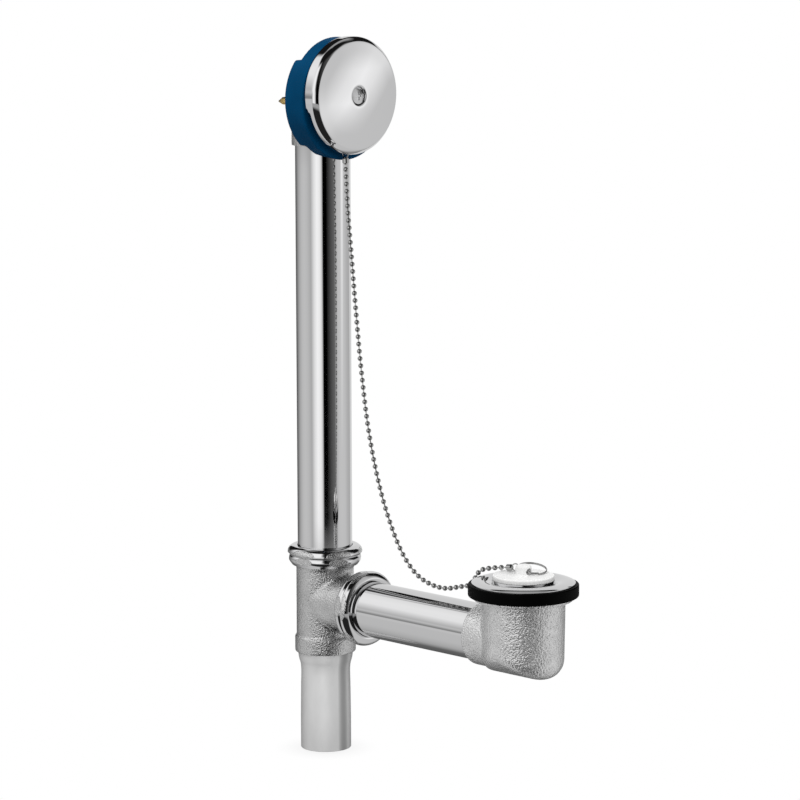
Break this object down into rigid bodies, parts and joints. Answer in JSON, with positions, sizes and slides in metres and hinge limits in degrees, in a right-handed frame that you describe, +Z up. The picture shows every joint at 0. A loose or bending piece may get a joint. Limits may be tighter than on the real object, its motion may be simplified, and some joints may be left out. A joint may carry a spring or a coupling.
{
  "type": "bath waste and overflow",
  "caption": "Chain-and-stopper bath waste and overflow: drain flange and shoe, shoe tube, cast tee with tailpiece, overflow tube, elbow with gasket and faceplate, ball chain and rubber stopper.",
  "frame": {"origin": "centre of the drain in the plane where the drain flange's brim sits on the bath floor", "axes": "+Z up along the drain axis, +X from the overflow tube towards the drain, the tube, branch and drain axes all in the plane Y = 0"},
  "size_m": [0.2678, 0.0832, 0.498],
  "materials": {
    "bright_chrome": "polished chrome plate on brass",
    "cast_metal": "rough-plated grey casting, satin grain",
    "satin_tube": "satin grey plated tube",
    "screw_brass": "yellow brass, plated head",
    "blue_rubber": "soft dark blue rubber",
    "black_rubber": "black rubber",
    "white_rubber": "smooth white rubber"
  },
  "bodies": {
    "root": {"overflow_faceplate": "bright_chrome", "overflow_tube": "bright_chrome", "top_slip_nut": "bright_chrome", "branch_slip_nut": "bright_chrome", "shoe_tube": "bright_chrome", "drain_flange": "bright_chrome", "stopper_ring": "bright_chrome", "plate_coupling": "bright_chrome", "stopper_coupling": "bright_chrome", "chain_beads": "bright_chrome", "chain_links": "bright_chrome", "overflow_elbow": "cast_metal", "tee_body": "cast_metal", "drain_shoe": "cast_metal", "tailpiece": "satin_tube", "faceplate_screw": "screw_brass", "overflow_gasket": "blue_rubber", "bath_washer": "black_rubber", "top_slip_washer": "black_rubber", "branch_slip_washer": "black_rubber", "stopper": "white_rubber"}
  },
  "joints": []
}
